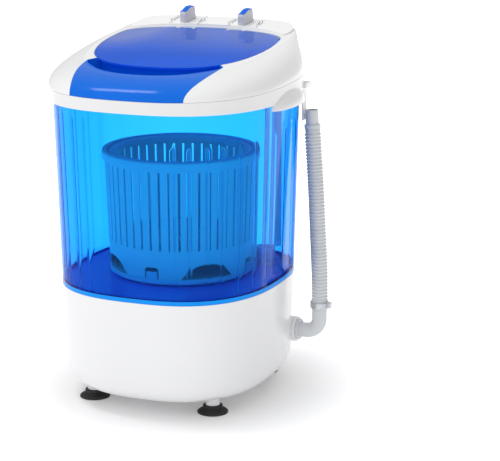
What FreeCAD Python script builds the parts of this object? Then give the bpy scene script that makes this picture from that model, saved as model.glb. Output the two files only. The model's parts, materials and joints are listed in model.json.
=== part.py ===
import FreeCAD, Part
import Sketcher
import math
import os
from FreeCAD import Vector as V

# Portable washer spinner: a tinted clear tub on a white base, a white deck with a
# hinged see-through lid, two rotary controls, a pulsator with a lift-out spin basket,
# a belt drive in the base and a drain hose that hangs on the side of the tub.
# Frame: +Z up, front faces -Y, origin on the floor under the middle of the body. Millimetres.

doc = FreeCAD.newDocument("washer_spinner")
sheet = doc.addObject("Spreadsheet::Sheet", "Dims")

DIMS = [
    ("ring_half_width", 176.0, "half width of the body at the deck ring"),
    ("front_reach", 200.4, "spin axis to the front of the ring"),
    ("rear_reach", 175.0, "spin axis to the back of the ring"),
    ("axis_y", 12.7, "spin axis, behind the middle of the body"),
    ("front_power", 2.61, "squareness of the front half of the plan"),
    ("rear_power", 2.5, "squareness of the back half of the plan"),
    ("joint_scale", 0.926, "plan scale at the joint of base and tub"),
    ("tub_taper", 0.000146, "plan scale gained per mm up the tub"),
    ("base_taper", 0.000197, "plan scale lost per mm down the base"),
    ("base_low_z", 20.0, "underside of the base"),
    ("base_top_z", 175.6, "joint of base and tub"),
    ("base_round", 36.0, "rounding of the lower edge"),
    ("shell_wall", 3.0, "wall of the mouldings"),
    ("ring_low_z", 449.7, "lower edge of the deck ring"),
    ("seam_z", 468.0, "joint of ring and top cover at the front"),
    ("seam_rise", 0.032, "rise of that joint towards the back, per mm"),
    ("deck_z", 502.5, "deck plane at the front edge of the lid"),
    ("deck_slope", 0.1183, "rise of the deck towards the back, per mm"),
    ("panel_z", 532.0, "control panel at its front edge"),
    ("panel_slope", 0.2126, "rise of the control panel, per mm"),
    ("deck_half_width", 138.0, "half width of the flat deck"),
    ("deck_mid_y", 107.7, "widest place of the flat deck"),
    ("deck_front", 245.0, "flat deck, forward from its widest place"),
    ("deck_rear", 71.0, "flat deck, backward from its widest place"),
    ("foot_x", 95.7, "feet, sideways"),
    ("foot_front_y", -98.3, "front feet"),
    ("foot_rear_y", 106.0, "rear feet"),
    ("foot_rad", 22.5, "radius of a foot"),
    ("foot_height", 12.0, "height of a foot"),
    ("shaft_rad", 7.0, "main shaft"),
    ("pulsator_rad", 108.5, "pulsator disc"),
    ("pulsator_z", 181.5, "underside of the pulsator"),
    ("pulsator_thick", 9.0, "rim height of the pulsator"),
    ("basket_z", 190.8, "foot of the basket"),
    ("basket_tall", 175.2, "height of the basket"),
    ("basket_rim_rad", 118.0, "outside of the basket rim"),
    ("basket_foot_rad", 108.0, "outside of the basket at its foot"),
    ("basket_wall", 2.4, "wall of the basket"),
    ("slot_wide", 3.4, "slots in the basket wall"),
    ("slot_count", 48.0, "slots around the basket"),
    ("belt_z", 60.0, "belt plane"),
    ("big_pulley_rad", 60.0, "driven pulley, outside"),
    ("small_pulley_rad", 22.0, "motor pulley, outside"),
    ("pulley_wide", 14.0, "width of both pulleys"),
    ("motor_y", -90.0, "motor axis"),
    ("motor_rad", 40.0, "motor casing"),
    ("motor_shaft_rad", 4.0, "motor shaft"),
    ("drain_x", 104.0, "drain sump, sideways"),
    ("drain_y", 87.7, "drain sump and hose outlet"),
    ("outlet_z", 80.0, "hose outlet above the floor"),
    ("hose_rad", 12.5, "outside of the corrugated hose"),
    ("knob_x", 48.0, "controls, sideways"),
    ("knob_y", 153.7, "controls, front to back"),
    ("knob_long", 26.0, "grip bar length"),
    ("knob_wide", 12.0, "grip bar width"),
    ("screw_rad", 2.0, "self-tapping screws"),
]
VAL = {}
for i, (alias, value, note) in enumerate(DIMS, start=2):
    sheet.set("A%d" % i, alias)
    sheet.set("B%d" % i, repr(value))
    sheet.set("C%d" % i, note)
    sheet.setAlias("B%d" % i, alias)
    VAL[alias] = value
doc.recompute()


class Q:
    """A size with its value and the sheet expression that drives it."""

    def __init__(self, v, e):
        self.v, self.e = v, e

    def _op(self, o, f, s, rev=False):
        ov, oe = (o.v, o.e) if isinstance(o, Q) else (float(o), repr(float(o)))
        a, b = ((ov, oe), (self.v, self.e)) if rev else ((self.v, self.e), (ov, oe))
        return Q(f(a[0], b[0]), "(%s %s %s)" % (a[1], s, b[1]))

    def __add__(self, o): return self._op(o, lambda a, b: a + b, "+")
    def __radd__(self, o): return self._op(o, lambda a, b: a + b, "+", True)
    def __sub__(self, o): return self._op(o, lambda a, b: a - b, "-")
    def __rsub__(self, o): return self._op(o, lambda a, b: a - b, "-", True)
    def __mul__(self, o): return self._op(o, lambda a, b: a * b, "*")
    def __rmul__(self, o): return self._op(o, lambda a, b: a * b, "*", True)
    def __truediv__(self, o): return self._op(o, lambda a, b: a / b, "/")


def D(alias):
    return Q(VAL[alias], "Dims." + alias)


def num(q):
    return q.v if isinstance(q, Q) else float(q)


PARTS = []


def keep(obj, label):
    obj.Label = label
    PARTS.append(obj)
    return obj


def bind(obj, prop, q):
    if isinstance(q, Q):
        obj.setExpression(prop, q.e)
    else:
        path, rest = obj, prop.split(".")
        for r in rest[:-1]:
            path = getattr(path, r)
        setattr(path, rest[-1], float(q))


def place(obj, x=0, y=0, z=0, rot=None):
    obj.Placement = FreeCAD.Placement(
        V(num(x), num(y), num(z)), rot or FreeCAD.Rotation()
    )
    for n, q in zip("xyz", (x, y, z)):
        if isinstance(q, Q):
            obj.setExpression("Placement.Base." + n, q.e)
    return obj


# ---------------------------------------------------------------- sketch helpers

def new_body(label):
    b = doc.addObject("PartDesign::Body", label)
    keep(b, label)
    return b


def origin_plane(body, role):
    return [f for f in body.Origin.OriginFeatures if f.Role == role][0]


def sketch(body, role, loops, name="Sketch", offset=0.0):
    """Closed loops of straight lines, each corner held to the sketch origin by its two sizes."""
    sk = body.newObject("Sketcher::SketchObject", name)
    sk.AttachmentSupport = [(origin_plane(body, role), "")]
    sk.MapMode = "FlatFace"
    if isinstance(offset, Q) or offset:
        sk.AttachmentOffset = FreeCAD.Placement(V(0, 0, num(offset)), FreeCAD.Rotation())
        if isinstance(offset, Q):
            sk.setExpression("AttachmentOffset.Base.z", offset.e)
    for pts in loops:
        first = sk.GeometryCount
        n = len(pts)
        for k in range(n):
            a, b = pts[k], pts[(k + 1) % n]
            sk.addGeometry(
                Part.LineSegment(V(num(a[0]), num(a[1]), 0), V(num(b[0]), num(b[1]), 0)), False
            )
        for k in range(n):
            sk.addConstraint(
                Sketcher.Constraint("Coincident", first + k, 2, first + (k + 1) % n, 1)
            )
        for k in range(n):
            for c, kind, axis in ((0, "DistanceX", -2), (1, "DistanceY", -1)):
                q = pts[k][c]
                if abs(num(q)) < 1e-9:
                    sk.addConstraint(
                        Sketcher.Constraint("PointOnObject", first + k, 1, axis)
                    )
                else:
                    i = sk.addConstraint(
                        Sketcher.Constraint(kind, -1, 1, first + k, 1, num(q))
                    )
                    if isinstance(q, Q):
                        sk.setExpression("Constraints[%d]" % i, q.e)
    return sk


def revolve(body, profile, name="Revolution"):
    sk = sketch(body, "XZ_Plane", [profile], name + "Profile")
    r = body.newObject("PartDesign::Revolution", name)
    r.Profile = sk
    r.ReferenceAxis = (sk, ["V_Axis"])
    r.Angle = 360.0
    sk.Visibility = False
    return r


def pad(body, role, loops, length, offset=0.0, name="Pad", reverse=False):
    sk = sketch(body, role, loops, name + "Profile", offset)
    p = body.newObject("PartDesign::Pad", name)
    p.Profile = sk
    p.Reversed = reverse
    bind(p, "Length", length)
    return p


def pocket(body, role, loops, length, offset=0.0, name="Pocket", reverse=False):
    sk = sketch(body, role, loops, name + "Profile", offset)
    p = body.newObject("PartDesign::Pocket", name)
    p.Profile = sk
    p.Reversed = reverse
    bind(p, "Length", length)
    return p


def polar(body, feats, count, name="Pattern"):
    doc.recompute()
    p = body.newObject("PartDesign::PolarPattern", name)
    p.Originals = feats
    p.Axis = ([f for f in body.Origin.OriginFeatures if f.Role == "Z_Axis"][0], [""])
    p.Angle = 360.0
    if isinstance(count, Q):
        p.setExpression("Occurrences", count.e)
    else:
        p.Occurrences = int(count)
    body.Tip = p
    return p


def rect(x0, x1, y0, y1):
    return [(x0, y0), (x1, y0), (x1, y1), (x0, y1)]


def cyl(r, h, x=0, y=0, z=0, rot=None):
    c = doc.addObject("Part::Cylinder", "Cylinder")
    bind(c, "Radius", r)
    bind(c, "Height", h)
    return place(c, x, y, z, rot)


def box(lx, ly, lz, x=0, y=0, z=0, rot=None):
    b = doc.addObject("Part::Box", "Box")
    bind(b, "Length", lx)
    bind(b, "Width", ly)
    bind(b, "Height", lz)
    return place(b, x, y, z, rot)


def cut(a, b):
    c = doc.addObject("Part::Cut", "Cut")
    c.Base, c.Tool = a, b
    return c


def fuse(*objs):
    f = doc.addObject("Part::MultiFuse", "Fusion")
    f.Shapes = list(objs)
    return f


def feature(shape, label):
    f = doc.addObject("Part::Feature", label)
    f.Shape = shape
    return keep(f, label)


# ------------------------------------------------------------- body plan outlines

AX = VAL["axis_y"]


def body_radius(t, a, f, r):
    c, s = math.cos(t), math.sin(t)
    b, n = (f, VAL["front_power"]) if s < 0 else (r, VAL["rear_power"])
    return (abs(c / a) ** n + abs(s / b) ** n) ** (-1.0 / n)


def deck_radius(t, inset):
    """Distance from the spin axis to the edge of the flat deck in the direction t."""
    a, f, r = VAL["deck_half_width"] - inset, VAL["deck_front"] - inset, VAL["deck_rear"] - inset
    c, s = math.cos(t), math.sin(t)
    lo, hi = 1.0, 400.0
    for _ in range(60):
        mid = 0.5 * (lo + hi)
        x, y = mid * c, AX + mid * s - VAL["deck_mid_y"]
        n, b = (2.6, f) if y < 0 else (3.5, r)
        if abs(x / a) ** n + abs(y / b) ** n < 1.0:
            lo = mid
        else:
            hi = mid
    return 0.5 * (lo + hi)


def ring_wire(radius, zf, points=48):
    """Closed curve about the spin axis; zf is a height or z(x, y)."""
    out = []
    for k in range(points):
        t = 2 * math.pi * (k + 0.5) / points
        rho = radius(t)
        x, y = rho * math.cos(t), AX + rho * math.sin(t)
        out.append(V(x, y, zf(x, y) if callable(zf) else zf))
    curve = Part.BSplineCurve()
    curve.interpolate(out, PeriodicFlag=True)
    return Part.Wire(curve.toShape())


def plan(inset, scale=1.0, zf=0.0):
    a = VAL["ring_half_width"] * scale - inset
    f = VAL["front_reach"] * scale - inset
    r = VAL["rear_reach"] * scale - inset
    return ring_wire(lambda t: body_radius(t, a, f, r), zf)


def loft(wires):
    s = Part.makeLoft(wires, True, False)
    if s.Volume < 0:
        s.reverse()
    return s


def base_scale(z):
    return VAL["joint_scale"] + (z - VAL["base_top_z"]) * VAL["base_taper"]


def tub_scale(z):
    return VAL["joint_scale"] + (z - VAL["base_top_z"]) * VAL["tub_taper"]


def seam(x, y):
    return VAL["seam_z"] + VAL["seam_rise"] * (y + 187.7)


def deck(x, y):
    return VAL["deck_z"] + VAL["deck_slope"] * (y + 93.3)


def panel_top(x, y):
    return VAL["panel_z"] + VAL["panel_slope"] * (y - 130.7)


WALL = VAL["shell_wall"]
BLZ, BTZ, RND = VAL["base_low_z"], VAL["base_top_z"], VAL["base_round"]

# ----------------------------------------------------------------- base housing


def base_solid(inset, low, top):
    z1 = low + RND
    ws = []
    for k in range(7):
        p = math.radians(15.0 * k)
        z = low + RND * (1 - math.cos(p))
        ws.append(plan(inset + RND * (1 - math.sin(p)), base_scale(z1), z))
    bowl = loft(ws)
    wall = loft([plan(inset, base_scale(z1), z1), plan(inset, base_scale(top), top)])
    return bowl.fuse(wall)


base = base_solid(0.0, BLZ, BTZ)
base = base.cut(base_solid(WALL, BLZ + WALL, BTZ + 4))
# opening in the floor of the base, closed from below by the bottom plate
base = base.cut(loft([plan(66, base_scale(BLZ), BLZ - 5), plan(66, base_scale(BLZ), BLZ + 10)]))
# posts for the four feet
for sx in (-1, 1):
    for fy in (VAL["foot_front_y"], VAL["foot_rear_y"]):
        post = Part.makeCylinder(10.5, BLZ + 2.6 - VAL["foot_height"], V(sx * VAL["foot_x"], fy, VAL["foot_height"]))
        base = base.fuse(post)
        base = base.cut(Part.makeCylinder(4.0, 9.0, V(sx * VAL["foot_x"], fy, VAL["foot_height"] - 1)))
# ports: hose outlet on the right, cord gland at the back
OUTZ = VAL["outlet_z"]
DY = VAL["drain_y"]
base = base.fuse(Part.makeCylinder(19.0, 16.6, V(139.0, DY, OUTZ), V(1, 0, 0)))
base = base.cut(Part.makeCylinder(15.0, 70, V(120, DY, OUTZ), V(1, 0, 0)))
base = base.cut(Part.makeCylinder(7.5, 60, V(-60, 120, 60), V(0, 1, 0)))
base = base.cut(Part.makeCylinder(11.1, 20, V(-60, 165.4, 60), V(0, 1, 0)))
# room for the motor's rubber bushes, and pilot holes for the plate screws
plate_xy = [(-95, 12), (95, 12), (-62, -104), (62, -104), (-62, 101), (62, 101)]
for sx in (-1, 1):
    for dy in (-14.0, 14.0):
        base = base.cut(Part.makeCylinder(6.3, 12, V(sx * 54.0, VAL["motor_y"] + dy, BLZ - 4)))
for x, y in plate_xy:
    base = base.cut(Part.makeCylinder(VAL["screw_rad"] + 0.03, 16, V(x, y, BLZ - 6)))
base_housing = feature(base.removeSplitter(), "base_housing")

# bottom plate with vent slots
plate = loft([plan(52, base_scale(BLZ), BLZ - 3), plan(52, base_scale(BLZ), BLZ)])
for k in range(7):
    s = Part.makeBox(4, 46, 10, V(-32 + 10 * k - 2, -2, BLZ - 6))
    plate = plate.cut(s)
for x, y in plate_xy:
    plate = plate.cut(Part.makeCylinder(VAL["screw_rad"] + 0.03, 16, V(x, y, BLZ - 9)))
bottom_plate = feature(plate, "bottom_plate")

# ------------------------------------------------------------------------- tub


def tub_solid(inset, low, top):
    return loft([plan(inset, tub_scale(low), low), plan(inset, tub_scale(top), top)])


TUB_TOP = 463.0
tub = tub_solid(0.3, BTZ + 0.05, TUB_TOP).cut(tub_solid(2.9, BTZ + 4.0, TUB_TOP + 3))
# spigot that drops inside the base wall
spig = loft([plan(3.4, base_scale(BTZ - 8), BTZ - 8), plan(3.4, base_scale(BTZ), BTZ + 1.0)])
spig = spig.cut(loft([plan(6.0, base_scale(BTZ - 8), BTZ - 9), plan(6.0, base_scale(BTZ), BTZ + 2.0)]))
tub = tub.fuse(spig)
# holes for the shaft seal and the drain
tub = tub.cut(Part.makeCylinder(12.05, 30, V(0, AX, BTZ - 10)))
tub = tub.cut(Part.makeCylinder(13.0, 30, V(VAL["drain_x"], DY, BTZ - 10)))
# upright ribs on the inside of the two side walls
rib_band = tub_solid(1.6, BTZ + 2, 400.0).cut(tub_solid(6.0, BTZ + 1, 402.0))
for sx in (-1, 1):
    for ry in (-45.0, -15.0, 15.0, 45.0, 75.0):
        tub = tub.fuse(Part.makeBox(60, 2.4, 240, V(sx * 150 - 30, ry - 1.2, BTZ + 2)).common(rib_band))
wash_tub = feature(tub.removeSplitter(), "wash_tub")

# gasket between tub floor and base: cord of rubber under the tub flange
gk = loft([plan(6.4, base_scale(BTZ - 4), BTZ - 6), plan(6.4, base_scale(BTZ - 4), BTZ - 0.3)])
gk = gk.cut(loft([plan(9.0, base_scale(BTZ - 4), BTZ - 8), plan(9.0, base_scale(BTZ - 4), BTZ + 2)]))
feature(gk, "tub_gasket")

# ------------------------------------------------------------------- deck ring
RLZ = VAL["ring_low_z"]
ring = loft([plan(1.6, 1, RLZ), plan(0.0, 1, RLZ + 6)]).fuse(loft([plan(0.0, 1, RLZ + 6), plan(0.0, 1, lambda x, y: seam(x, y) - 0.2)]))
ring = ring.cut(loft([plan(4.6, 1, RLZ - 4), plan(4.6, 1, TUB_TOP + 0.3)]))
ring = ring.cut(loft([plan(30, 1, RLZ - 10), plan(30, 1, 500)]))
# side hand grips: hollow domes that bulge out of the ring
for sx in (-1, 1):
    def dome(ax, ay, az):
        m = FreeCAD.Matrix()
        m.scale(ax, ay, az)
        s = Part.makeSphere(1.0).transformGeometry(m)
        s.translate(V(sx * 169.0, 7.7, RLZ - 8.0))
        return s
    grip = dome(17.5, 60.0, 25.0).cut(dome(14.5, 56.0, 21.5))
    grip = grip.cut(Part.makeBox(60, 200, 40, V(sx * 169.0 - 30, -92, RLZ - 8 - 40)))
    grip = grip.cut(loft([plan(3.0, 1, RLZ - 30), plan(3.0, 1, 500)]))
    ring = ring.fuse(grip)
# lug for the hose hanger
lug = Part.makeBox(14.0, 24, 7, V(160.0, DY - 12, RLZ + 6)).cut(loft([plan(3.0, 1, RLZ - 10), plan(3.0, 1, 500)]))
ring = ring.fuse(lug)
ring = ring.cut(Part.makeBox(2.6, 16.4, 11.0, V(166.0, DY - 8.2, RLZ - 5)))
upper_ring = feature(ring.removeSplitter(), "upper_ring")

# ------------------------------------------------------------------- top cover


def cover_solid(inset, drop, low):
    """Dome from the ring joint up to the sloping deck, with elliptical shoulders."""
    ws = []
    a, f, r = VAL["ring_half_width"] - 0.3 - inset, VAL["front_reach"] - 0.3 - inset, VAL["rear_reach"] - 0.3 - inset
    for k in range(8):
        p = math.radians(90.0 * k / 7)
        g, t = 1.0 - math.cos(p), math.sin(p)

        def zf(x, y, t=t):
            s = seam(x, y) + 0.1 - low
            return s + t * (deck(x, y) - drop - s)

        ws.append(ring_wire(lambda q, g=g: (1 - g) * body_radius(q, a, f, r) + g * deck_radius(q, inset), zf))
    return loft(ws)


outer = cover_solid(0.0, 0.0, 0.0)
inner = cover_solid(WALL, WALL, 3.0)


def spline_prism(pts, z0=430.0, z1=580.0, closed=True):
    c = Part.BSplineCurve()
    c.interpolate([V(x, y, z0) for x, y in pts], PeriodicFlag=True)
    return Part.Face(Part.Wire(c.toShape())).extrude(V(0, 0, z1 - z0))


def edge_prism(segments, z0=430.0, z1=580.0):
    """Prism over a closed run of splines, each a list of points that starts where the last ended."""
    edges = []
    for pts in segments:
        p = [V(x, y, z0) for x, y in pts]
        if len(p) == 2:
            edges.append(Part.makeLine(p[0], p[1]))
        else:
            c = Part.BSplineCurve()
            c.interpolate(p)
            edges.append(c.toShape())
    return Part.Face(Part.Wire(edges)).extrude(V(0, 0, z1 - z0))


LID_HALF = [(0, -97.0), (32, -94.5), (63, -86.5), (90, -70.0), (108, -49.0), (120, -22.0), (128, 10.0), (131, 45.0), (129.5, 74.0), (122.5, 97.0), (103, 113.0), (75, 123.5), (45, 130.5), (0, 134.0)]


def lid_plan(g, h=0.0):
    """The lid's egg-shaped outline moved out by g, and by h more at the back."""
    pts = LID_HALF + [(-x, y) for x, y in reversed(LID_HALF[1:-1])]
    out = []
    n = len(pts)
    for k in range(n):
        (x0, y0), (x1, y1) = pts[k - 1], pts[(k + 1) % n]
        m = math.hypot(x1 - x0, y1 - y0)
        nx, ny = (y1 - y0) / m, (x0 - x1) / m
        d = g + h * min(1.0, max(0.0, (ny - 0.35) / 0.35))
        out.append((pts[k][0] + nx * d, pts[k][1] + ny * d))
    return out


lid_hole = spline_prism(lid_plan(1.2, 3.4))
lid_prism = spline_prism(lid_plan(0.0))


def layer(z0, y0, slope, low, high):
    """Everything between two heights over a plane that passes z0 at y0 and rises to the back."""
    ang = math.atan(slope)
    b = Part.makeBox(600, 800, (high - low) * math.cos(ang), V(-300, -400, 0))
    b.rotate(V(0, 0, 0), V(1, 0, 0), math.degrees(ang))
    b.translate(V(0, 0, z0 - slope * y0 + low))
    return b


def slab(low, high):
    return layer(VAL["deck_z"], -93.3, VAL["deck_slope"], low, high)


def both(half):
    """A run of points mirrored to the left, from the right end to the left end."""
    return half + [(-x, y) for x, y in reversed(half[:-1])]


# front visor: the front of the dome between two swept edges, with a finger pan that reaches under the lid
visor_r = [(106, -78), (104, -97), (101, -119), (95.5, -144), (88, -170), (77, -220)]
visor_l = [(-x, y) for x, y in reversed(visor_r)]
vis_front = [(77, -220), (-77, -220)]
vis_rear = [(-106, -78), (-94, -59.5)]
vis_back = list(reversed(both([(94, -59.5), (63, -73.5), (32, -81.5), (0, -84.0)])))
visor_prism = edge_prism([visor_r, vis_front, visor_l, vis_rear, vis_back, [(94, -59.5), (106, -78)]])
lip = both([(104.6, -79.0), (96.5, -94.5), (84, -107), (69, -120), (46, -131.5), (20, -137.5), (0, -138.5)])
recess = edge_prism([[(92, -62), (104.6, -79.0)], lip, [(-104.6, -79.0), (-92, -62)], list(reversed(both([(92, -62), (63, -76.5), (32, -84.5), (0, -87.0)])))], 485.0, 560.0)
lip_out = both([(109.0, -79.0), (100, -97), (86.5, -110), (71, -123), (47.5, -134.6), (20.5, -140.7), (0, -141.7)])
recess_out = edge_prism([[(98, -52), (109.0, -79.0)], lip_out, [(-109.0, -79.0), (-98, -52)], list(reversed(both([(98, -52), (63, -69), (32, -77), (0, -79.5)])))], 482.2, 560.0)
dome = outer.common(visor_prism)
visor = dome.cut(inner.cut(recess_out)).cut(recess)
visor = visor.cut(lid_hole.common(slab(-3.6, 60)))
front_visor = feature(visor.removeSplitter(), "front_visor")

# control panel plate, set into the back of the deck
pr = [(-124, 113), (-88, 128.5), (-45, 137), (0, 139.8), (45, 137), (88, 128.5), (124, 113)]
pside = [(124, 113), (129, 121), (129.5, 138), (122, 158), (104, 169), (70, 174), (0, 176), (-70, 174), (-104, 169), (-122, 158), (-129.5, 138), (-129, 121), (-124, 113)]
panel_prism = edge_prism([pr, pside])

panel = panel_prism.common(slab(0.05, 40)).cut(layer(VAL["panel_z"], 130.7, VAL["panel_slope"], 0, 60))
KX, KY = VAL["knob_x"], VAL["knob_y"]
NORMAL = V(0, -VAL["panel_slope"], 1.0)
NORMAL.normalize()
TILT = FreeCAD.Rotation(V(0, 0, 1), NORMAL)
KNOB_FOOT = panel_top(0, KY)
for sx in (-1, 1):
    panel = panel.cut(Part.makeCylinder(4.6, 40, V(sx * KX, KY, KNOB_FOOT) - NORMAL * 20, NORMAL))
control_panel = feature(panel.removeSplitter(), "control_panel")

cover = outer.cut(inner).cut(lid_hole).cut(visor_prism)
for sx in (-1, 1):
    cover = cover.cut(Part.makeCylinder(6.0, 40, V(sx * KX, KY, KNOB_FOOT) - NORMAL * 20, NORMAL))
# hinge ears in two notches at the back edge of the lid
HY, HZ = 127.6, deck(0, 127.6) - 2.6
for sx in (-1, 1):
    for ex in (28.0, 54.0):
        ear = Part.makeCylinder(2.4, 4.0, V(sx * ex - 2, HY, HZ), V(1, 0, 0))
        ear = ear.fuse(Part.makeBox(4, 13.0, 4.6, V(sx * ex - 2, HY, HZ - 2.3)))
        cover = cover.fuse(ear)
        cover = cover.cut(Part.makeCylinder(1.24, 6, V(sx * ex - 3, HY, HZ), V(1, 0, 0)))
top_cover = feature(cover.removeSplitter(), "top_cover")

# -------------------------------------------------------------------------- lid
lid = lid_prism.common(slab(-2.8, 0.0))
for sx in (-1, 1):
    lid = lid.cut(Part.makeBox(30.8, 20.0, 30.0, V(sx * 41 - 15.4, HY - 3.3, HZ - 15)))
    knuckle = Part.makeCylinder(2.4, 20.0, V(sx * 41 - 10, HY, HZ), V(1, 0, 0))
    knuckle = knuckle.fuse(Part.makeBox(20, 5.0, 2.2, V(sx * 41 - 10, HY - 5.0, HZ - 0.4)))
    lid = lid.fuse(knuckle).cut(Part.makeCylinder(1.2, 24, V(sx * 41 - 12, HY, HZ), V(1, 0, 0)))
lid_f = feature(lid, "lid")
for sx, nm in ((-1, "left"), (1, "right")):
    keep(cyl(1.18, 30.0, sx * 41 - 15.0, HY, HZ, FreeCAD.Rotation(V(0, 0, 1), V(1, 0, 0))), "lid_hinge_pin_" + nm)

# ------------------------------------------------------------- knobs and timers
KZ = KNOB_FOOT


def on_panel(obj, sx, up, turn=0.0):
    obj.Placement = FreeCAD.Placement(V(sx * KX, KY, KZ) + NORMAL * up, TILT.multiply(FreeCAD.Rotation(V(0, 0, 1), turn)))
    return obj


for sx, nm in ((-1, "wash"), (1, "spin")):
    b = new_body(nm + "_knob")
    L2, W2 = D("knob_long") / 2, D("knob_wide") / 2
    pad(b, "YZ_Plane", [[(0 - L2, 0.0), (L2, 0.0), (L2 - 0.6, 18.7), (L2 - 6.0, 20.2), (2.0, 20.5), (0 - L2 + 9.6, 19.4), (0 - L2 + 5.0, 17.7), (0 - L2 + 0.6, 17.2)]], D("knob_wide"), 0 - W2, "Grip")
    pocket(b, "XY_Plane", [rect(-2.6, 2.6, -2.6, 2.6)], 9.0, 0.0, "ShaftSocket", True)
    on_panel(b, sx, 0.4, -15.0)
    c = new_body(nm + "_knob_inlay")
    pad(c, "YZ_Plane", [[(0 - L2 + 1.4, 17.35), (0 - L2 + 5.0, 17.8), (0 - L2 + 9.6, 19.5), (2.0, 20.6), (L2 - 6.0, 20.3), (L2 - 1.6, 19.2), (L2 - 1.6, 20.0), (L2 - 6.0, 21.1), (2.0, 21.4), (0 - L2 + 9.6, 20.3), (0 - L2 + 5.0, 18.6), (0 - L2 + 1.4, 18.1)]], D("knob_wide") - 3.0, 1.5 - W2, "Inlay")
    on_panel(c, sx, 0.4, -15.0)
    d = new_body(nm + "_timer")
    pad(d, "XY_Plane", [rect(-21, 21, -17, 13.0)], 22.0, -34.0, "Case")
    pad(d, "XY_Plane", [rect(-4.2, 4.2, -4.2, 4.2)], 5.0, -13.0, "Neck")
    on_panel(d, sx, -0.4)
    e = new_body(nm + "_spindle")
    pad(e, "XY_Plane", [rect(-2.55, 2.55, -2.55, 2.55)], 16.5, -8.0, "Spindle")
    on_panel(e, sx, 0.4, -15.0)

# ------------------------------------------------------------------ spin basket
bk = new_body("spin_basket")
RF, RR, BT, BW = D("basket_foot_rad"), D("basket_rim_rad"), D("basket_tall"), D("basket_wall")
revolve(bk, [
    (RF - BW, 0.0), (RF, 0.0), (RF + 5.6, BT - 14.0), (RR - 0.6, BT - 13.0), (RR, BT - 11.4), (RR, BT - 1.8), (RR - 1.4, BT),
    (RR - 6.0, BT), (RR - 7.2, BT - 1.6), (RR - 7.2, BT - 7.0), (RF + 5.6 - BW, BT - 9.0),
    (RF - BW + 1.35, 41.0), (30.0, 38.5), (22.0, 53.0), (14.0, 53.0), (14.0, 26.0), (18.0, 26.0), (22.0, 35.5), (RF - BW + 1.2, 37.6),
], "Wall")
sl = pocket(bk, "XZ_Plane", [rect(0 - D("slot_wide") / 2, D("slot_wide") / 2, 42.5, BT - 15.5)], 130.0, 0.0, "Slot", False)
polar(bk, [sl], D("slot_count"), "Slots")
nt = pocket(bk, "XZ_Plane", [[(-11.0, -1.0), (11.0, -1.0), (11.0, 13.0), (8.0, 17.0), (-8.0, 17.0), (-11.0, 13.0)]], 130.0, 0.0, "Notch", False)
polar(bk, [nt], 4, "Notches")
ar = pocket(bk, "XZ_Plane", [[(math.sin(math.radians(0)) - 40.0, -1.0), (40.0, -1.0), (37.0, 4.0), (32.0, 9.0), (26.0, 14.5), (18.0, 19.0), (8.0, 21.5), (-8.0, 21.5), (-18.0, 19.0), (-26.0, 14.5), (-32.0, 9.0), (-37.0, 4.0)]], 130.0, 0.0, "Arch", False)
ar.Profile[0].AttachmentOffset = FreeCAD.Placement(V(0, 0, 0), FreeCAD.Rotation(V(0, 1, 0), 45))
polar(bk, [ar], 4, "Arches")
dr = pocket(bk, "XY_Plane", [rect(38.0, 92.0, -2.2, 2.2)], 20.0, 34.0, "FloorSlot", True)
polar(bk, [dr], 16, "FloorSlots")
place(bk, 0, D("axis_y"), D("basket_z"), FreeCAD.Rotation(V(0, 0, 1), -0.5))

br = new_body("balance_ring")
revolve(br, [(97.5, BT - 9.6), (107.0, BT - 9.6), (107.0, BT - 2.6), (105.6, BT - 1.2), (98.9, BT - 1.2), (97.5, BT - 2.6)], "Ring")
tb = pad(br, "XY_Plane", [rect(106.0, 110.6, -4.0, 4.0)], 3.2, BT - 6.3, "Tab")
polar(br, [tb], 8, "Tabs")
place(br, 0, D("axis_y"), D("basket_z"), FreeCAD.Rotation(V(0, 0, 1), -0.5))

# -------------------------------------------------------------------- pulsator
pu = new_body("pulsator")
PR, PT = D("pulsator_rad"), D("pulsator_thick")
SR = D("shaft_rad")
revolve(pu, [
    (SR + 0.03, 0.0), (PR - 4.0, 0.0), (PR, 3.0), (PR, PT - 1.5), (PR - 1.5, PT), (PR - 9.0, PT), (PR - 12.0, PT - 3.0),
    (34.0, PT - 3.0), (24.0, PT + 2.0), (13.2, PT + 15.0), (SR + 0.03, PT + 15.0),
], "Disc")
fin = pad(pu, "XY_Plane", [[(20.0, -4.0), (55.0, 1.0), (92.0, 16.0), (90.0, 23.0), (53.0, 9.5), (20.0, 5.0)]], PT + 10.0 - 5.0, PT - 5.0, "Fin")
polar(pu, [fin], 5, "Fins")
tab = pad(pu, "XZ_Plane", [rect(-8.6, 8.6, PT - 2.0, PT + 11.0)], 7.0, 101.4, "LockTab")
polar(pu, [tab], 4, "LockTabs")
place(pu, 0, D("axis_y"), D("pulsator_z"), FreeCAD.Rotation(V(0, 0, 1), -0.5))

ps = new_body("pulsator_screw")
revolve(ps, [(0.0, 5.0), (2.9, 5.0), (2.9, 25.2), (11.0, 25.2), (11.0, 26.6), (6.5, 27.0), (6.5, 31.0), (5.5, 32.0), (0.0, 32.0)], "Screw")
place(ps, 0, D("axis_y"), D("pulsator_z"))

# ---------------------------------------------------------------- drive train
BZ = D("belt_z")
ms = new_body("main_shaft")
revolve(ms, [(0.0, -42.0 + 88.0), (SR - 1.0, 46.0), (SR, 47.0), (SR, D("pulsator_z") + 14.0), (3.0, D("pulsator_z") + 14.0), (3.0, D("pulsator_z") + 4.0), (0.0, D("pulsator_z") + 4.0)], "Shaft")
place(ms, 0, D("axis_y"), 0)


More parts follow.
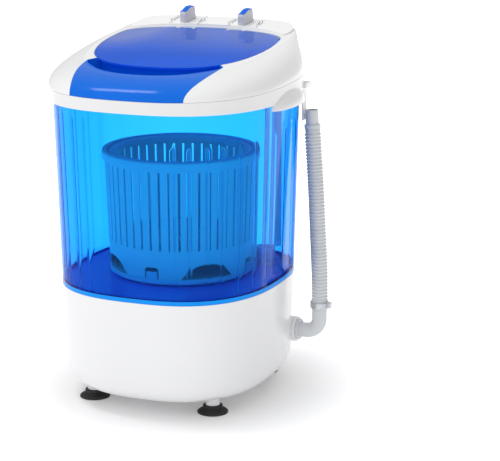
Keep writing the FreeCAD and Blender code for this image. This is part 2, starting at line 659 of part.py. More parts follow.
def vpulley(label, rad, bore, y, webs):
    b = new_body(label)
    w = D("pulley_wide") / 2
    prof = [(bore, 0 - w - 3.0), (bore + 8.0, 0 - w - 3.0), (bore + 8.0, -3.0)]
    if webs:
        prof += [(rad - 9.0, -3.0), (rad - 9.0, 0 - w)]
    else:
        prof = [(bore, 0 - w - 3.0), (bore + 6.0, 0 - w - 3.0), (bore + 6.0, 0 - w)]
    prof += [(rad, 0 - w), (rad, -5.0), (rad - 4.6, -3.1), (rad - 4.6, 3.1), (rad, 5.0), (rad, w)]
    if webs:
        prof += [(rad - 9.0, w), (rad - 9.0, 3.0), (bore + 8.0, 3.0), (bore + 8.0, w)]
    prof += [(bore, w)]
    revolve(b, prof, "Pulley")
    if webs:
        h = pocket(b, "XY_Plane", [[(20.0, -6.0), (44.0, -12.0), (46.0, 0.0), (44.0, 12.0), (20.0, 6.0)]], 12.0, 6.0, "Window", False)
        polar(b, [h], 5, "Windows")
    place(b, 0, y, BZ)
    return b


vpulley("driven_pulley", D("big_pulley_rad"), SR, D("axis_y"), True)
vpulley("motor_pulley", D("small_pulley_rad"), D("motor_shaft_rad"), D("motor_y"), False)

# V-belt round both pulleys
def belt_loop(r1, r2, z):
    y1, y2 = AX, VAL["motor_y"]
    d = y1 - y2
    ang = math.asin((r1 - r2) / d)
    c, s = math.cos(ang), math.sin(ang)
    # the tangent points on the two circles, on the +X side
    p1, p2 = V(r1 * c, y1 - r1 * s, z), V(r2 * c, y2 - r2 * s, z)
    m1, m2 = V(-p1.x, p1.y, z), V(-p2.x, p2.y, z)
    e = [
        Part.makeLine(p2, p1),
        Part.Arc(p1, V(0, y1 + r1, z), m1).toShape(),
        Part.makeLine(m1, m2),
        Part.Arc(m2, V(0, y2 - r2, z), p2).toShape(),
    ]
    return Part.Face(Part.Wire(e))


RB, RS = VAL["big_pulley_rad"], VAL["small_pulley_rad"]
belt = belt_loop(RB + 1.0, RS + 1.0, VAL["belt_z"] - 2.5).extrude(V(0, 0, 5.0))
belt = belt.cut(belt_loop(RB - 4.0, RS - 4.0, VAL["belt_z"] - 5).extrude(V(0, 0, 10)))
feature(belt, "drive_belt")

bh = new_body("bearing_housing")
BT0 = D("base_top_z")
revolve(bh, [(SR + 4.0, 92.0), (28.0, 92.0), (28.0, 152.0), (36.0, 160.0), (50.0, 162.0), (50.0, BT0 - 0.4), (16.0, BT0 - 0.4), (16.0, 92.0 + 4.0), (SR + 4.0, 92.0 + 4.0)], "Housing")
place(bh, 0, D("axis_y"), 0)
for nm, z0 in (("lower", 96.2), ("upper", 142.0)):
    b = new_body(nm + "_bearing")
    revolve(b, [(SR + 0.04, z0), (9.6, z0), (9.6, z0 + 1.0), (13.2, z0 + 1.0), (13.2, z0), (15.9, z0), (15.9, z0 + 11.0), (13.2, z0 + 11.0), (13.2, z0 + 10.0), (9.6, z0 + 10.0), (9.6, z0 + 11.0), (SR + 0.04, z0 + 11.0)], "Race")
    place(b, 0, D("axis_y"), 0)
ss = new_body("shaft_seal")
revolve(ss, [(SR + 0.06, 164.0), (11.9, 164.0), (11.9, 176.8), (9.0, 177.6), (SR + 0.06, 177.6)], "Seal")
place(ss, 0, D("axis_y"), 0)

mo = new_body("motor")
MR = D("motor_rad")
revolve(mo, [(D("motor_shaft_rad") + 0.05, 80.0), (9.0, 80.0), (9.0, 84.0), (MR - 8.0, 84.0), (MR - 3.0, 88.0), (MR - 3.0, 98.0), (MR, 98.0), (MR, 134.0), (MR - 3.0, 134.0), (MR - 3.0, 146.0), (MR - 9.0, 151.0), (10.0, 151.0), (10.0, 154.0), (0.0, 154.0), (0.0, 128.0), (D("motor_shaft_rad") + 0.05, 128.0)], "Casing")
place(mo, 0, D("motor_y"), 0)
mt = new_body("motor_shaft")
revolve(mt, [(0.0, 49.0), (D("motor_shaft_rad"), 49.0), (D("motor_shaft_rad"), 127.5), (0.0, 127.5)], "Rotor")
place(mt, 0, D("motor_y"), 0)
# bracket: a pressed-steel bridge over the motor pulley, on rubber bushes
mb = new_body("motor_bracket")
pad(mb, "XZ_Plane", [[(-58.0, 23.6), (-40.0, 23.6), (-40.0, 26.0), (-47.6, 26.0), (-47.6, 77.2), (47.6, 77.2), (47.6, 26.0), (40.0, 26.0), (40.0, 23.6), (58.0, 23.6), (58.0, 26.0), (50.0, 26.0), (50.0, 79.6), (-50.0, 79.6), (-50.0, 26.0), (-58.0, 26.0)]], 44.0, -22.0, "Bridge")
pocket(mb, "XY_Plane", [[(9.4, 0.0), (6.65, 6.65), (0.0, 9.4), (-6.65, 6.65), (-9.4, 0.0), (-6.65, -6.65), (0.0, -9.4), (6.65, -6.65)]], 12.0, 84.0, "ShaftHole", False)
place(mb, 0, D("motor_y"), 0)
bushes = [cut(cyl(6.0, 3.5, sx * 54.0, D("motor_y") + dy, 20.05), cyl(2.3, 8.0, sx * 54.0, D("motor_y") + dy, 18.0)) for sx in (-1, 1) for dy in (-14.0, 14.0)]
keep(fuse(*bushes), "motor_bushes")

keep(fuse(cyl(16.0, 44.0, -66.0, 68.0, 23.4), cyl(12.0, 3.0, -66.0, 68.0, 67.4), cyl(2.0, 6.0, -71.0, 68.0, 70.4), cyl(2.0, 6.0, -61.0, 68.0, 70.4)), "run_capacitor")
cc = cut(cut(cyl(18.2, 12.0, -66.0, 68.0, 40.0), cyl(16.1, 20.0, -66.0, 68.0, 36.0)), box(10, 40, 20, -71.0, 78.0, 36.0))
cb = fuse(box(14.0, 2.0, 32.0, -73.0, 47.9, 20.1), box(14.0, 10.0, 2.0, -73.0, 38.1, 20.1))
keep(fuse(cc, cb), "capacitor_clip")

# -------------------------------------------------------------------- drain
DX = D("drain_x")
DYq = D("drain_y")
dv = new_body("drain_sump")
revolve(dv, [(0.0, 66.0), (21.0, 66.0), (21.0, 160.0), (27.0, 163.0), (27.0, BT0 - 0.4), (12.5, BT0 - 0.4), (12.5, 150.0), (18.0, 146.0), (18.0, 69.0), (0.0, 69.0)], "Chamber")
pocket(dv, "YZ_Plane", [[(8.6, 80.0), (6.1, 86.1), (0.0, 88.6), (-6.1, 86.1), (-8.6, 80.0), (-6.1, 73.9), (0.0, 71.4), (6.1, 73.9)]], 30.0, 0.0, "Port", True)
place(dv, DX, DYq, 0)
tube = new_body("drain_pipe")
revolve(tube, [(8.7, 0.0), (11.0, 0.0), (11.0, 16.8), (8.7, 16.8)], "Pipe")
place(tube, 125.2, DYq, D("outlet_z"), FreeCAD.Rotation(V(0, 0, 1), V(1, 0, 0)))
so = new_body("outlet_socket")
revolve(so, [(11.25, 0.0), (14.8, 0.0), (14.8, 13.5), (19.0, 13.5), (19.0, 17.5), (11.25, 17.5)], "Socket")
place(so, 142.3, DYq, D("outlet_z"), FreeCAD.Rotation(V(0, 0, 1), V(1, 0, 0)))

# swivelling outlet elbow: a horizontal spigot that turns up to the hose
HX = 194.5
e1 = Part.makeLine(V(142.7, DY, OUTZ), V(HX - 20, DY, OUTZ))
e2 = Part.Arc(V(HX - 20, DY, OUTZ), V(HX - 20 + 20 * math.sin(math.pi / 4), DY, OUTZ + 20 * (1 - math.cos(math.pi / 4))), V(HX, DY, OUTZ + 20)).toShape()
e3 = Part.makeLine(V(HX, DY, OUTZ + 20), V(HX, DY, 132.0))
path = Part.Wire([e1, e2, e3])
el_o = path.makePipeShell([Part.Wire(Part.makeCircle(11.15, V(142.7, DY, OUTZ), V(1, 0, 0)))], True, True)
el_i = path.makePipeShell([Part.Wire(Part.makeCircle(8.4, V(142.7, DY, OUTZ), V(1, 0, 0)))], True, True)
el = el_o.cut(el_i)
stop = Part.makeCylinder(15.5, 4.0, V(160.2, DY, OUTZ), V(1, 0, 0)).cut(Part.makeCylinder(10.0, 9.0, V(158.0, DY, OUTZ), V(1, 0, 0)))
el = el.fuse(stop)
# step the hose end of the elbow down so that the hose pushes over it
el = el.cut(Part.makeCylinder(14, 30, V(HX, DY, 115.0)).cut(Part.makeCylinder(9.6, 40, V(HX, DY, 112.0))))
feature(el.removeSplitter(), "outlet_elbow")

# drain hose: straight runs joined by large tangent arcs
HOSE = [
    V(HX, DY, 115.2), V(194.9, DY + 0.5, 156.0), V(193.2, DY + 0.2, 200.0), V(190.6, DY - 0.4, 244.0),
    V(188.2, DY - 0.2, 290.0), V(185.0, DY + 0.4, 335.0), V(181.9, DY, 378.0), V(181.0, DY, 394.0),
]


def route(points):
    edges, radii = [], []
    last = points[0]
    for i in range(1, len(points) - 1):
        a, b, c = points[i - 1], points[i], points[i + 1]
        u, w = (b - a), (c - b)
        lu, lw = u.Length, w.Length
        u.normalize()
        w.normalize()
        turn = math.acos(max(-1.0, min(1.0, u.dot(w))))
        tang = 0.45 * min(lu, lw)
        radii.append(tang / math.tan(turn / 2))
        p, q = b - u * tang, b + w * tang
        bis = (w - u)
        bis.normalize()
        centre = b + bis * (radii[-1] / math.cos(turn / 2))
        mid = centre - bis * radii[-1]
        edges.append(Part.LineSegment(last, p).toShape())
        edges.append(Part.Arc(p, mid, q).toShape())
        last = q
    edges.append(Part.LineSegment(last, points[-1]).toShape())
    return Part.Wire(edges), radii


hw, radii = route(HOSE)
print("hose: length %.1f mm, smallest bend radius %.0f mm" % (hw.Length, min(radii)))
print("radii", [round(r) for r in radii])
HR = VAL["hose_rad"]
t0 = HOSE[1] - HOSE[0]
hose = hw.makePipeShell([Part.Wire(Part.makeCircle(HR, HOSE[0], t0))], True, False)
bore = hw.makePipeShell([Part.Wire(Part.makeCircle(9.8, HOSE[0], t0))], True, False)
print("hose volume %.0f, section times length %.0f" % (hose.Volume, math.pi * HR * HR * hw.Length))
feature(hose.cut(bore), "drain_hose")
tend = HOSE[-1] - HOSE[-2]
tend.normalize()
cuff = Part.makeCylinder(9.8, 28.0, HOSE[-1] + tend * 0.1, tend)
cuff = cuff.fuse(Part.makeCylinder(12.2, 6.0, HOSE[-1] + tend * 0.1, tend))
cuff = cuff.fuse(Part.makeCylinder(9.7, 12.0, HOSE[-1] - tend * 11.9, tend))
cuff = cuff.cut(Part.makeCylinder(8.2, 60.0, HOSE[-1] - tend * 20, tend))
feature(cuff.removeSplitter(), "hose_end_cuff")
clampr = Part.makeCylinder(14.2, 8.0, V(HX, DY, 119.0)).cut(Part.makeCylinder(12.75, 10.0, V(HX, DY, 118.0)))
clampr = clampr.fuse(Part.makeBox(5.0, 8.0, 8.0, V(HX + 13.8, DY - 4.0, 119.0)))
feature(clampr, "hose_clamp")

# hanger strap: hooks in the ring lug and holds the hose by the neck of its cuff
strap = Part.makeBox(2.0, 16.0, 49.4, V(166.3, DY - 8.0, 406.0))
arm = Part.makeBox(2.0, 8.0, 6.0, V(166.3, DY + 7.0, 406.0))
arm = arm.fuse(Part.makeBox(16.0, 3.0, 6.0, V(166.3, DY + 12.0, 406.0)))
feature(strap.fuse(arm).removeSplitter(), "hose_hanger")

# drain grille over the sump hole in the tub
gr = new_body("drain_grille")
revolve(gr, [(0.0, 26.0), (13.5, 26.0), (16.5, 23.0), (16.5, 0.0), (14.2, 0.0), (14.2, 21.8), (12.6, 23.4), (0.0, 23.4)], "Cap")
gs = pocket(gr, "XZ_Plane", [rect(-1.3, 1.3, 3.0, 20.0)], 40.0, 0.0, "GrilleSlot", False)
polar(gr, [gs], 16, "GrilleSlots")
place(gr, DX, DYq, BT0 + 4.2)

# ---------------------------------------------------------------- small pieces
gl = new_body("cord_gland")
revolve(gl, [(4.0, 0.0), (7.4, 0.0), (7.4, 8.0), (11.0, 8.0), (11.0, 11.0), (8.0, 13.0), (4.0, 13.0)], "Gland")
place(gl, -60.0, 157.5, 60.0, FreeCAD.Rotation(V(0, 0, 1), V(0, 1, 0)))

for sx, a in ((-1, "left"), (1, "right")):
    for alias, b in (("foot_front_y", "front"), ("foot_rear_y", "rear")):
        f = new_body("foot_%s_%s" % (b, a))
        FR, FH = D("foot_rad"), D("foot_height")
        revolve(f, [(0.0, 2.5), (11.0, 1.2), (13.5, 0.0), (FR, 0.0), (FR, 1.6), (FR - 2.0, 3.2), (15.0, 5.0), (13.0, 7.5), (14.5, 9.0), (14.5, FH - 1.2), (12.0, FH - 0.05), (3.8, FH - 0.05), (3.8, FH + 7.0), (0.0, FH + 7.0)], "Foot")
        place(f, sx * D("foot_x"), D(alias), 0)

# screws of the bottom plate, each a shank and a pan head
def screw(x, y, z, up, length, rad, head):
    s = Part.makeCylinder(rad, length, V(x, y, z), up)
    h = Part.makeCylinder(head, 1.8, V(x, y, z) - up * 1.8, up)
    return s.fuse(h).cut(Part.makeBox(head * 1.3, 0.9, 1.0, V(x - head * 0.65, y - 0.45, z - 1.9)) if abs(up.z) > 0.9 else Part.makeSphere(0.3, V(x, y, z) - up * 1.8))


sr = VAL["screw_rad"]
screws = [screw(x, y, BLZ - 3.05, V(0, 0, 1), 9.0, sr, 4.0) for x, y in plate_xy]
feature(Part.makeCompound(screws), "plate_screws")

# conduit for the wiring up the back of the tub, from the base to the deck
cond = Part.makeBox(15, 26.0, 255.0, V(-7.5, -12.0, 186.0)).cut(Part.makeBox(11, 23.8, 270.0, V(-5.5, -12.0, 180.0)))
cond.rotate(V(0, 0, 0), V(0, 0, 1), -27.0)
cond.translate(V(87.0, 164.0, 0))
cond = cond.cut(tub_solid(-0.4, BTZ - 10, TUB_TOP + 5))
feature(cond, "wire_conduit")

doc.recompute()

# ------------------------------------------------------ checks and STEP files
bad = [o.Label for o in doc.Objects if "Invalid" in o.State or "Error" in o.State]
if bad:
    raise SystemExit("failed objects: %s" % bad)
seen = set()
faults = []
for o in PARTS:
    s = o.Shape
    if s.isNull() or not s.isValid() or not s.Solids:
        faults.append(o.Label)
    if o.Label in seen:
        raise SystemExit("label used twice: " + o.Label)
    seen.add(o.Label)
if faults:
    raise SystemExit("bad shapes: %s" % faults)
os.makedirs("parts", exist_ok=True)
for n in os.listdir("parts"):
    if n.endswith(".step") and n[:-5] not in seen:
        os.remove(os.path.join("parts", n))
for o in PARTS:
    o.Shape.exportStep("parts/%s.step" % o.Label)
    bb = o.Shape.BoundBox
    print("%-22s solids %2d vol %10.0f  x %7.1f %7.1f  y %7.1f %7.1f  z %7.1f %7.1f" % (o.Label, len(o.Shape.Solids), o.Shape.Volume, bb.XMin, bb.XMax, bb.YMin, bb.YMax, bb.ZMin, bb.ZMax))
print(len(PARTS), "parts")
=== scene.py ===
import json
import math

import bmesh
import bpy
import numpy as np
from mathutils import Matrix, Vector


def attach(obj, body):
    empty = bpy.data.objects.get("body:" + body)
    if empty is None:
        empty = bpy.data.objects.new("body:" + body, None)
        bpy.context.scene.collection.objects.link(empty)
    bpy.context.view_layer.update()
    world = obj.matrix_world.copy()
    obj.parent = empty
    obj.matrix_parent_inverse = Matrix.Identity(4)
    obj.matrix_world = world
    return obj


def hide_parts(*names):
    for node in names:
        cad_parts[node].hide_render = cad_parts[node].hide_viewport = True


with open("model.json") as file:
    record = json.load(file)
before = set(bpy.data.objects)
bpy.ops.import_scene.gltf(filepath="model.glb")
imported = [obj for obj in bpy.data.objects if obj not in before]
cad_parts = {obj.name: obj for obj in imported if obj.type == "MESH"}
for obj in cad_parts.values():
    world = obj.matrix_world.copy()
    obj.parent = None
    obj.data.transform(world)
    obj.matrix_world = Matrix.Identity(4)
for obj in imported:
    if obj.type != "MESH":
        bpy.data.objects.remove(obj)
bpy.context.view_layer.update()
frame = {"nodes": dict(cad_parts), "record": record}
NODES = frame["nodes"]
scene = bpy.context.scene

# ------------------------------------------------------------------ camera
cam_data = bpy.data.cameras.new("camera")
cam = bpy.data.objects.new("camera", cam_data)
scene.collection.objects.link(cam)
eye = Vector((1.034, -2.3263, 0.880))
fwd = Vector((-0.3562, 0.9021, -0.2436)).normalized()
cam.location = eye
cam.rotation_euler = fwd.to_track_quat("-Z", "Y").to_euler()
cam_data.sensor_width = 36.0
cam_data.sensor_fit = "HORIZONTAL"
cam_data.lens = 125.9
cam_data.clip_end = 50
scene.camera = cam

# ------------------------------------------------------------------- light
world = bpy.data.worlds.new("studio")
scene.world = world
world.use_nodes = True
wn = world.node_tree
bg = wn.nodes["Background"]
bg.inputs["Color"].default_value = (1.0, 1.0, 1.0, 1)
wtc = wn.nodes.new("ShaderNodeTexCoord")
wdot = wn.nodes.new("ShaderNodeVectorMath")
wdot.operation = "DOT_PRODUCT"
wdot.inputs[1].default_value = (0.955, 0.28, 0.08)
wn.links.new(wtc.outputs["Generated"], wdot.inputs[0])
wmr = wn.nodes.new("ShaderNodeMapRange")
wmr.interpolation_type = "SMOOTHSTEP"
wmr.inputs["From Min"].default_value = 0.25
wmr.inputs["From Max"].default_value = 0.9
wmr.inputs["To Min"].default_value = 0.96
wmr.inputs["To Max"].default_value = 0.36
wn.links.new(wdot.outputs["Value"], wmr.inputs["Value"])
wdl = wn.nodes.new("ShaderNodeVectorMath")
wdl.operation = "DOT_PRODUCT"
wdl.inputs[1].default_value = (-0.90, 0.43, 0.05)
wn.links.new(wtc.outputs["Generated"], wdl.inputs[0])
wml = wn.nodes.new("ShaderNodeMapRange")
wml.interpolation_type = "SMOOTHSTEP"
wml.inputs["From Min"].default_value = 0.45
wml.inputs["From Max"].default_value = 0.9
wml.inputs["To Min"].default_value = 1.0
wml.inputs["To Max"].default_value = 0.45
wn.links.new(wdl.outputs["Value"], wml.inputs["Value"])
wmul = wn.nodes.new("ShaderNodeMath")
wmul.operation = "MULTIPLY"
wn.links.new(wmr.outputs["Result"], wmul.inputs[0])
wn.links.new(wml.outputs["Result"], wmul.inputs[1])
wn.links.new(wmul.outputs["Value"], bg.inputs["Strength"])


def area(name, loc, target, size, power, colour=(1, 1, 1)):
    d = bpy.data.lights.new(name, "AREA")
    d.shape = "RECTANGLE"
    d.size, d.size_y = size
    d.energy = power
    d.color = colour
    o = bpy.data.objects.new(name, d)
    scene.collection.objects.link(o)
    o.location = loc
    o.rotation_euler = (Vector(target) - Vector(loc)).to_track_quat("-Z", "Y").to_euler()
    return o


area("key", (-1.03, -0.23, 2.65), (0, -0.18, 0.48), (0.42, 0.85), 14.0)

floor_mesh = bpy.data.meshes.new("floor")
floor_mesh.from_pydata([(-8, -6, 0), (8, -6, 0), (8, 10, 0), (-8, 10, 0)], [], [(0, 1, 2, 3)])
floor = bpy.data.objects.new("floor", floor_mesh)
scene.collection.objects.link(floor)

scene.view_settings.view_transform = "Standard"
scene.view_settings.look = "None"
scene.view_settings.exposure = 0.0


# --------------------------------------------------------------- materials
def material(name, colour, rough=0.35, metal=0.0, coat=0.0, noise=0.0, noise_scale=60.0, bump=0.0, bump_scale=900.0, spec=0.5, sss=0.0, vary_rough=0.0):
    m = bpy.data.materials.new(name)
    m.use_nodes = True
    nt = m.node_tree
    b = nt.nodes["Principled BSDF"]
    b.inputs["Base Color"].default_value = (*colour, 1)
    b.inputs["Roughness"].default_value = rough
    b.inputs["Metallic"].default_value = metal
    b.inputs["Specular IOR Level"].default_value = spec
    if coat:
        b.inputs["Coat Weight"].default_value = coat
        b.inputs["Coat Roughness"].default_value = 0.06
    if sss:
        b.inputs["Subsurface Weight"].default_value = sss
        b.inputs["Subsurface Radius"].default_value = (0.004, 0.004, 0.005)
        b.inputs["Subsurface Scale"].default_value = 1.0
    tc = nt.nodes.new("ShaderNodeTexCoord")
    if noise:
        n = nt.nodes.new("ShaderNodeTexNoise")
        n.inputs["Scale"].default_value = noise_scale
        n.inputs["Detail"].default_value = 4
        nt.links.new(tc.outputs["Object"], n.inputs["Vector"])
        r = nt.nodes.new("ShaderNodeValToRGB")
        r.color_ramp.elements[0].position = 0.3
        r.color_ramp.elements[1].position = 0.7
        lo = [max(0.0, c * (1 - noise)) for c in colour]
        hi = [min(1.0, c * (1 + noise)) for c in colour]
        r.color_ramp.elements[0].color = (*lo, 1)
        r.color_ramp.elements[1].color = (*hi, 1)
        nt.links.new(n.outputs["Fac"], r.inputs["Fac"])
        nt.links.new(r.outputs["Color"], b.inputs["Base Color"])
    if vary_rough:
        n2 = nt.nodes.new("ShaderNodeTexNoise")
        n2.inputs["Scale"].default_value = noise_scale * 0.4
        n2.inputs["Detail"].default_value = 6
        nt.links.new(tc.outputs["Object"], n2.inputs["Vector"])
        mr = nt.nodes.new("ShaderNodeMapRange")
        mr.inputs["From Min"].default_value = 0.3
        mr.inputs["From Max"].default_value = 0.7
        mr.inputs["To Min"].default_value = max(0.02, rough - vary_rough)
        mr.inputs["To Max"].default_value = rough + vary_rough
        nt.links.new(n2.outputs["Fac"], mr.inputs["Value"])
        nt.links.new(mr.outputs["Result"], b.inputs["Roughness"])
    if bump:
        n3 = nt.nodes.new("ShaderNodeTexNoise")
        n3.inputs["Scale"].default_value = bump_scale
        n3.inputs["Detail"].default_value = 3
        nt.links.new(tc.outputs["Object"], n3.inputs["Vector"])
        bp = nt.nodes.new("ShaderNodeBump")
        bp.inputs["Strength"].default_value = bump
        bp.inputs["Distance"].default_value = 0.0004
        nt.links.new(n3.outputs["Fac"], bp.inputs["Height"])
        nt.links.new(bp.outputs["Normal"], b.inputs["Normal"])
    return m


def clear(name, colour, rough=0.02, ior=1.45, absorb=None):
    """Tinted clear plastic; absorb is the loss per millimetre of wall in red, green and blue."""
    m = bpy.data.materials.new(name)
    m.use_nodes = True
    b = m.node_tree.nodes["Principled BSDF"]
    b.inputs["Base Color"].default_value = (*colour, 1)
    b.inputs["Roughness"].default_value = rough
    b.inputs["IOR"].default_value = ior
    b.inputs["Transmission Weight"].default_value = 1.0
    if absorb:
        nt = m.node_tree
        va = nt.nodes.new("ShaderNodeVolumeAbsorption")
        top = max(absorb)
        va.inputs["Color"].default_value = (*[1.0 - a / top for a in absorb], 1)
        va.inputs["Density"].default_value = top * 1000.0
        nt.links.new(va.outputs["Volume"], nt.nodes["Material Output"].inputs["Volume"])
    return m


MAT = {
    "white_gloss": material("white_plastic", (0.84, 0.842, 0.852), 0.24, coat=0.15, noise=0.008, noise_scale=8, bump=0.03, bump_scale=700, vary_rough=0.03),
    # the grips' plastic is a greyed copy of the white plastic: painted shade on the grips
    "knob_white": material("knob_plastic", (0.64, 0.645, 0.67), 0.3, noise=0.02, noise_scale=20, bump=0.05, vary_rough=0.05),
    "tub_tint": clear("tub_plastic", (0.36, 0.83, 1.0), 0.012, 1.16, absorb=(0.42, 0.11, 0.0)),
    "lid_tint": clear("lid_plastic", (0.012, 0.205, 0.95), 0.03, 1.06),
    "visor_blue": material("blue_plastic", (0.003, 0.15, 0.74), 0.14, noise=0.04, noise_scale=10, bump=0.02, vary_rough=0.015, spec=0.13),
    "basket_white": material("basket_plastic", (0.90, 0.92, 0.94), 0.33, noise=0.02, noise_scale=14, bump=0.06, vary_rough=0.06),
    "pulsator_blue": material("pulsator_plastic", (0.62, 0.76, 0.92), 0.3, noise=0.03, noise_scale=16, bump=0.05, vary_rough=0.05),
    "hose_grey": material("hose_plastic", (0.66, 0.68, 0.70), 0.42, noise=0.03, noise_scale=30, bump=0.06, vary_rough=0.07),
    "rubber_black": material("rubber", (0.018, 0.018, 0.02), 0.6, noise=0.15, noise_scale=60, bump=0.2, bump_scale=1500, vary_rough=0.1),
    "steel": material("zinc_steel", (0.56, 0.57, 0.6), 0.32, metal=1.0, noise=0.06, noise_scale=90, bump=0.05, vary_rough=0.1),
    "motor_grey": material("cast_alloy", (0.42, 0.43, 0.45), 0.5, metal=1.0, noise=0.08, noise_scale=120, bump=0.25, bump_scale=800, vary_rough=0.1),
    "dark_plastic": material("dark_plastic", (0.045, 0.045, 0.05), 0.5, noise=0.1, noise_scale=60, bump=0.12, vary_rough=0.08),
    "belt_rubber": material("belt_rubber", (0.02, 0.02, 0.02), 0.7, noise=0.2, noise_scale=150, bump=0.3, bump_scale=1800, vary_rough=0.1),
}
MAT["cover_white"] = material("cover_plastic", (0.885, 0.887, 0.895), 0.24, coat=0.15, noise=0.012, noise_scale=8, bump=0.03, bump_scale=700, vary_rough=0.03)
MAT["panel_white"] = material("panel_plastic", (0.93, 0.93, 0.935), 0.32, coat=0.1, noise=0.01, noise_scale=10, bump=0.03, bump_scale=900, vary_rough=0.035)
MAT["ring_white"] = material("ring_plastic", (0.82, 0.81, 0.82), 0.24, coat=0.12, noise=0.012, noise_scale=8, bump=0.03, bump_scale=700, vary_rough=0.03)
MAT["tub_foot"] = material("tub_foot_plastic", (0.005, 0.30, 0.95), 0.25, spec=0.12, noise=0.04, noise_scale=12, bump=0.02, vary_rough=0.04)
MAT["conduit"] = material("conduit_plastic", (0.86, 0.93, 1.0), 0.5, noise=0.02, noise_scale=20, bump=0.04, vary_rough=0.05)
MAT["conduit"].node_tree.nodes["Principled BSDF"].inputs["Transmission Weight"].default_value = 0.75
MAT["grille"] = material("grille_plastic", (0.30, 0.62, 1.0), 0.3, noise=0.03, noise_scale=20, bump=0.04, vary_rough=0.05)
MAT["tub_floor"] = material("tub_floor_plastic", (0.012, 0.24, 1.0), 0.22, noise=0.05, noise_scale=14, bump=0.03, vary_rough=0.05)

# the lid is hazy, and its coat is made much stronger towards its hinge and its left side: a painted reflection that
# greys the lid there
ln = MAT["lid_tint"].node_tree
lb = ln.nodes["Principled BSDF"]
lb.inputs["Transmission Weight"].default_value = 0.58
lb.inputs["Coat Roughness"].default_value = 0.03
ltc = ln.nodes.new("ShaderNodeTexCoord")
lsp = ln.nodes.new("ShaderNodeSeparateXYZ")
ln.links.new(ltc.outputs["Object"], lsp.inputs[0])
lid_sheen_to_hinge = ln.nodes.new("ShaderNodeMapRange")
lid_sheen_to_hinge.interpolation_type = "SMOOTHSTEP"
lid_sheen_to_hinge.inputs["From Min"].default_value = -0.05
lid_sheen_to_hinge.inputs["From Max"].default_value = 0.125
lid_sheen_to_hinge.inputs["To Min"].default_value = 0.04
lid_sheen_to_hinge.inputs["To Max"].default_value = 0.66
ln.links.new(lsp.outputs["Y"], lid_sheen_to_hinge.inputs["Value"])
lb.inputs["Coat IOR"].default_value = 2.2
lid_sheen_to_left = ln.nodes.new("ShaderNodeMapRange")
lid_sheen_to_left.interpolation_type = "SMOOTHSTEP"
lid_sheen_to_left.inputs["From Min"].default_value = -0.045
lid_sheen_to_left.inputs["From Max"].default_value = -0.125
lid_sheen_to_left.inputs["To Min"].default_value = 1.0
lid_sheen_to_left.inputs["To Max"].default_value = 2.5
ln.links.new(lsp.outputs["X"], lid_sheen_to_left.inputs["Value"])
lid_painted_sheen = ln.nodes.new("ShaderNodeMath")
lid_painted_sheen.operation = "MULTIPLY"
lid_painted_sheen.use_clamp = True
ln.links.new(lid_sheen_to_hinge.outputs["Result"], lid_painted_sheen.inputs[0])
ln.links.new(lid_sheen_to_left.outputs["Result"], lid_painted_sheen.inputs[1])
ln.links.new(lid_painted_sheen.outputs["Value"], lb.inputs["Coat Weight"])

floor_mat = material("floor_white", (0.86, 0.86, 0.865), 0.4, noise=0.004, noise_scale=3)
floor.data.materials.append(floor_mat)
fn = floor_mat.node_tree
fb = fn.nodes["Principled BSDF"]
ftc = fn.nodes.new("ShaderNodeTexCoord")
fsp = fn.nodes.new("ShaderNodeSeparateXYZ")
fn.links.new(ftc.outputs["Object"], fsp.inputs[0])
flen = fn.nodes.new("ShaderNodeVectorMath")
flen.operation = "LENGTH"
fn.links.new(ftc.outputs["Object"], flen.inputs[0])


def floor_ramp(socket, a, b, lo, hi):
    n = fn.nodes.new("ShaderNodeMapRange")
    n.interpolation_type = "SMOOTHSTEP"
    n.inputs["From Min"].default_value = a
    n.inputs["From Max"].default_value = b
    n.inputs["To Min"].default_value = lo
    n.inputs["To Max"].default_value = hi
    fn.links.new(socket, n.inputs["Value"])
    return n.outputs["Result"]


# the floor glows though it is no lamp: painted light, weak within about 0.3 m of the machine, which leaves a painted
# shade round its foot, and stronger towards the back
floor_glow_dim_near_machine = floor_ramp(flen.outputs["Value"], 0.15, 0.31, 0.12, 0.46)
back_glow = floor_ramp(fsp.outputs["Y"], 0.25, 0.95, 0.0, 0.45)
fadd = fn.nodes.new("ShaderNodeMath")
fadd.operation = "ADD"
fn.links.new(floor_glow_dim_near_machine, fadd.inputs[0])
fn.links.new(back_glow, fadd.inputs[1])
fb.inputs["Emission Color"].default_value = (1, 1, 1, 1)
fn.links.new(fadd.outputs["Value"], fb.inputs["Emission Strength"])

for sp in frame["record"]["subparts"]:
    o = NODES[sp["node"]]
    o.data.materials.clear()
    o.data.materials.append(MAT[{"upper_ring": "ring_white", "top_cover": "cover_white", "control_panel": "panel_white", "wire_conduit": "conduit", "drain_grille": "grille"}.get(sp["node"], sp["material_slot"])])


def mesh_piece(name, verts, faces, mat, body, smooth=True):
    me = bpy.data.meshes.new(name)
    me.from_pydata([tuple(v) for v in verts], [], faces)
    me.update()
    ob = bpy.data.objects.new(name, me)
    scene.collection.objects.link(ob)
    if smooth:
        me.polygons.foreach_set("use_smooth", [True] * len(me.polygons))
    me.materials.append(mat)
    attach(ob, body)
    return ob


# --------------------------------------------------------------------- hose
HX, DY = 194.5, 87.7
ROUTE = [
    (HX, DY, 115.2), (194.9, DY + 0.5, 156.0), (193.2, DY + 0.2, 200.0), (190.6, DY - 0.4, 244.0),
    (188.2, DY - 0.2, 290.0), (185.0, DY + 0.4, 335.0), (181.9, DY, 378.0), (181.0, DY, 394.0),
]


